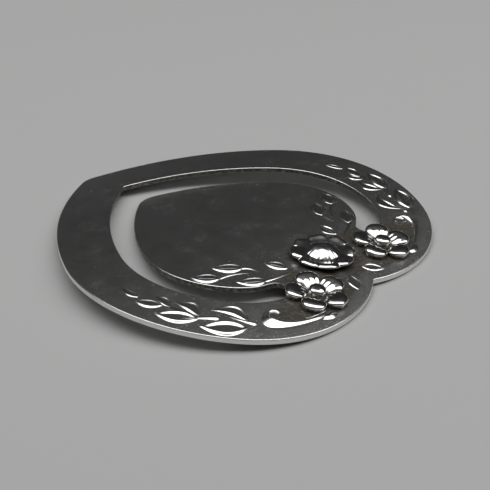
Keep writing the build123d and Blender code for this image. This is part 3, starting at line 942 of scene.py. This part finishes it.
class BOOKMARK_OT_rim_scrolls(bpy.types.Operator):
    """Makes the curled leaf on the rim of each lobe"""

    bl_idname = "bookmark.rim_scrolls"
    bl_label = "Rim Scrolls"

    def execute(self, context):
        plan = HeartPlan(context.scene)
        relief = plan.relief
        tail_angle = radians(79)
        tail_drop = 0.25 * MM
        bulb_angle = radians(53)
        bulb_lift = 0.75 * MM
        turn_share = 0.72
        bend_r = 0.75 * MM
        head_turn = -0.65 * pi
        curl_angle = radians(55.5)
        ridge_angles = (radians(83), radians(77), radians(70))
        ridge_inset = relief.scroll_inset + 0.28 * MM

        def band(done):
            inset = relief.scroll_inset + bulb_lift * done**5 - tail_drop * (1 - done) ** 2
            return plan.lobe_point(tail_angle + (bulb_angle - tail_angle) * done, inset)

        bulb = band(1.0)
        bend_middle = bulb - across_of(run_at(band, 1.0)) * bend_r

        def path(share):
            if share < turn_share:
                return band(share / turn_share)
            turn = head_turn * (share - turn_share) / (1 - turn_share)
            return bend_middle + Matrix.Rotation(turn, 3, "Z") @ (bulb - bend_middle)

        def place(along, across):
            done = min(along / turn_share, 1.0)
            grown = (0.2 + 0.08 * done + 0.72 * done**4) * smoothstep(0.3 + 4 * done)
            size = grown * (1 - 0.75 * smoothstep((along - turn_share) / (1 - turn_share)))
            outer = across > 0
            half = relief.scroll_width * size * (1.0 if outer else 0.45)
            foot = path(along) + across_of(run_at(path, along)) * across * half
            slope = 1 - abs(across) ** (1.15 if outer else 2.0)
            return foot, relief.scroll_height * size * slope

        bm = bmesh.new()
        raised_strip(bm, along=72, across=20, place=place)
        curl = plan.lobe_point(curl_angle, relief.curl_inset)
        reach = relief.curl_radius
        shares = (
            (0, 0.02), (0.4, 0.03), (0.56, 0.06), (0.65, 0.11), (0.74, 0.17), (0.82, 0.21), (0.89, 0.21),
            (0.95, 0.15), (1.0, 0), (1.0, -0.15), (0, -0.15),
        )
        shade_and_patina = bm.verts.layers.float.new("shade_and_patina")
        cup = revolve(bm, shares, reach, reach, steps=40)
        for vert in cup:
            # Painted shade with patina: the inside of the cup is darkened, less towards its rim
            vert[shade_and_patina] = 0.9 - 0.7 * smoothstep((hypot(vert.co.x, vert.co.y) / reach - 0.5) / 0.25)
        bmesh.ops.translate(bm, verts=cup, vec=curl)
        ridge = path_through(*[plan.lobe_point(angle, ridge_inset) for angle in ridge_angles])
        add_stem(bm, ridge, 0.5 * relief.stem_width, 0.5 * relief.stem_height)
        lay_on_face(bm, plan)
        both_sides(bm, "rim_scroll", "silver_leaf", "frame")
        return {"FINISHED"}


class BOOKMARK_OT_small_leaves(bpy.types.Operator):
    """Makes the single leaves of the lobes and of the cleft"""

    bl_idname = "bookmark.small_leaves"
    bl_label = "Small Leaves"

    def execute(self, context):
        plan = HeartPlan(context.scene)
        relief = plan.relief
        slope = 0.8 * relief.leaf_slope

        def lay_leaf(name, *leaf):
            bm = bmesh.new()
            add_leaf(bm, *leaf)
            lay_on_face(bm, plan)
            both_sides(bm, name, "silver_leaf", "frame")

        lobe_angles = (radians(86), radians(76))
        base, tip = [plan.lobe_point(angle, relief.lobe_leaf_inset) for angle in lobe_angles]
        ridge = (1.0, 1.0, slope)
        no_ridge = (0.5, 0.5, 0.0)
        bend = 0.05
        lay_leaf("lobe_leaf", base, tip, relief.lobe_leaf_width, ridge, no_ridge, bend)
        room = plan.lobe_centre.x - relief.petal_ring - relief.petal_radius
        base_drop = 2.2 * MM
        tip_drop = 0.15 * MM
        base = Vector((0.37 * room, plan.cleft_y - base_drop, 0))
        tip = Vector((0.87 * room, plan.cleft_y - tip_drop, 0))
        rim = (0.25, 0.25, slope)
        lay_leaf("cleft_leaf", base, tip, 0.45 * room, rim, rim)
        return {"FINISHED"}


class BOOKMARK_OT_tongue_sprays(bpy.types.Operator):
    """Makes the leaf sprays on the tongue"""

    bl_idname = "bookmark.tongue_sprays"
    bl_label = "Tongue Sprays"

    def execute(self, context):
        plan = HeartPlan(context.scene)
        relief = plan.relief
        sizes = plan.sizes
        start = plan.centre_blossom()
        start += polar(relief.ruffle_radius + relief.spray_gap, TONGUE_SPRAY_START)
        run = plan.rim_point(TONGUE_SPRAY_END, sizes.border + sizes.slot + relief.spray_inset) - start
        left = Vector((-run.y, run.x, 0))
        stem_width = 0.55 * relief.stem_width
        stem_height = 0.65 * relief.stem_height

        def spray_point(place):
            return start + run * place[0] + left * place[1]

        bm = bmesh.new()
        for places in TONGUE_STEMS:
            stem = path_through(*[spray_point(place) for place in places])
            add_stem(bm, stem, stem_width, stem_height)
        near_rim = (0.34, 0.24, relief.leaf_slope)
        far_rim = (0.16, 0.24, 0.7 * relief.leaf_slope)
        vein = 0.04 * MM
        for base, tip, width, bend in TONGUE_LEAVES:
            across = width * run.length
            add_leaf(bm, spray_point(base), spray_point(tip), across, near_rim, far_rim, bend, vein)
        lay_on_face(bm, plan)
        bmesh.ops.transform(bm, matrix=plan.droop(), verts=bm.verts[:])
        both_sides(bm, "tongue_spray", "silver_leaf", "tongue")
        return {"FINISHED"}


def lay_table(stage):
    """Lays the pale table under the bookmark."""
    half_width = 4.0
    gap = 0.01 * MM
    bm = bmesh.new()
    bmesh.ops.create_grid(bm, x_segments=1, y_segments=1, size=half_width)
    bmesh.ops.translate(bm, verts=bm.verts[:], vec=(0, 0, -gap))
    material = bpy.data.materials.new("pale_table")
    bench = NodeBench(material)
    surface = {"Base Color": (*stage.table, 1), "Roughness": 0.8, "Specular IOR Level": 0.2}
    bench.feed(bench.tree.nodes["Principled BSDF"], surface)
    table = meshed(bm, "table", material)


def hang_light(stage):
    """Hangs the soft light over the table, square to the camera's view."""
    lamp = bpy.data.lights.new("soft_light", "AREA")
    lamp.shape = "RECTANGLE"
    lamp.size = stage.light_width
    lamp.size_y = stage.light_depth
    lamp.energy = stage.light_power
    light = linked("soft_light", lamp)
    back = polar(-stage.light_back, stage.azimuth - pi / 2)
    right = polar(stage.light_right, stage.azimuth)
    light.location = back + right + Vector((0, 0, stage.light_height))
    light.rotation_euler = (0, 0, stage.azimuth)


def light_room(scene, stage):
    """Makes the dim room, brighter overhead and on the camera's side."""
    scene.world = bpy.data.worlds.new("dim_room")
    bench = NodeBench(scene.world)
    direction = bench.add("TexCoord", {}).outputs["Generated"]
    height = bench.add("SeparateXYZ", {0: direction}).outputs["Z"]
    room = bench.add("ValToRGB", {0: height})
    stops = room.color_ramp.elements
    stops.remove(stops[1])
    for number, (angle, brightness) in enumerate(ROOM):
        stop = stops[0] if number == 0 else stops.new(1.0)
        stop.position = sin(radians(angle))
        stop.color = (*(brightness * part for part in stage.room), 1)
    ends = {0: direction, 1: polar(1.0, stage.azimuth - pi / 2)}
    facing = bench.add("VectorMath", ends, operation="DOT_PRODUCT").outputs["Value"]
    glow = bench.add("ValToRGB", {0: facing})
    glow.color_ramp.elements[0].position = 0.1
    glow.color_ramp.elements[1].position = 0.6
    glow.color_ramp.elements[1].color = (*stage.front, 1)
    front = bench.add("Background", {"Color": glow.outputs["Color"]})
    around = bench.tree.nodes["Background"]
    bench.feed(around, {"Color": room.outputs["Color"]})
    both = bench.add("AddShader", {0: around.outputs[0], 1: front.outputs[0]})
    bench.feed(bench.tree.nodes["World Output"], {"Surface": both.outputs[0]})


def set_camera(scene, stage):
    """Sets the camera up where the photograph was taken."""
    camera = bpy.data.cameras.new("camera")
    camera.lens = stage.focal_length
    camera.clip_start = 1 * MM
    eye = linked("camera", camera)
    flat = cos(stage.elevation)
    towards = Vector((sin(stage.azimuth) * flat, -cos(stage.azimuth) * flat, sin(stage.elevation)))
    eye.location = Vector(stage.target) + towards * stage.distance
    eye.rotation_euler = (-towards).to_track_quat("-Z", "Y").to_euler()
    scene.camera = eye


class BOOKMARK_OT_stage(bpy.types.Operator):
    """Lays the table, hangs the soft light and sets the camera up"""

    bl_idname = "bookmark.stage"
    bl_label = "Stage"

    def execute(self, context):
        scene = context.scene
        stage = scene.bookmark_stage
        lay_table(stage)
        hang_light(stage)
        light_room(scene, stage)
        set_camera(scene, stage)
        scene.view_settings.view_transform = "Standard"
        return {"FINISHED"}


OPERATORS = (
    BOOKMARK_OT_frame_sheet,
    BOOKMARK_OT_tongue_sheet,
    BOOKMARK_OT_side_blossoms,
    BOOKMARK_OT_centre_blossom,
    BOOKMARK_OT_rim_sprays,
    BOOKMARK_OT_rim_scrolls,
    BOOKMARK_OT_small_leaves,
    BOOKMARK_OT_tongue_sprays,
    BOOKMARK_OT_stage,
)

GROUPS = {
    "bookmark_sheet": BOOKMARK_PG_sheet,
    "bookmark_relief": BOOKMARK_PG_relief,
    "bookmark_finish": BOOKMARK_PG_finish,
    "bookmark_stage": BOOKMARK_PG_stage,
}


class BOOKMARK_PT_pieces(bpy.types.Panel):
    """Lists the bookmark's pieces and sizes"""

    bl_label = "Heart Bookmark"
    bl_idname = "BOOKMARK_PT_pieces"
    bl_space_type = "VIEW_3D"
    bl_region_type = "UI"
    bl_category = "Bookmark"

    def draw(self, context):
        layout = self.layout
        for operator in OPERATORS:
            layout.operator(operator.bl_idname)
        for name in GROUPS:
            group = getattr(context.scene, name)
            box = layout.box()
            for field in group.bl_rna.properties:
                if field.identifier not in ("rna_type", "name"):
                    box.prop(group, field.identifier)


def register():
    for group in GROUPS.values():
        bpy.utils.register_class(group)
    for name, group in GROUPS.items():
        setattr(bpy.types.Scene, name, PointerProperty(type=group))
    for operator in OPERATORS:
        bpy.utils.register_class(operator)
    bpy.utils.register_class(BOOKMARK_PT_pieces)


def unregister():
    bpy.utils.unregister_class(BOOKMARK_PT_pieces)
    for operator in reversed(OPERATORS):
        bpy.utils.unregister_class(operator)
    for name, group in GROUPS.items():
        delattr(bpy.types.Scene, name)
        bpy.utils.unregister_class(group)


def main():
    """Makes the bookmark piece by piece and sets up its stage."""
    register()
    bpy.ops.bookmark.frame_sheet()
    bpy.ops.bookmark.tongue_sheet()
    bpy.ops.bookmark.side_blossoms()
    bpy.ops.bookmark.centre_blossom()
    bpy.ops.bookmark.rim_sprays()
    bpy.ops.bookmark.rim_scrolls()
    bpy.ops.bookmark.small_leaves()
    bpy.ops.bookmark.tongue_sprays()
    bpy.ops.bookmark.stage()
    bpy.context.view_layer.update()


if __name__ == "__main__":
    main()
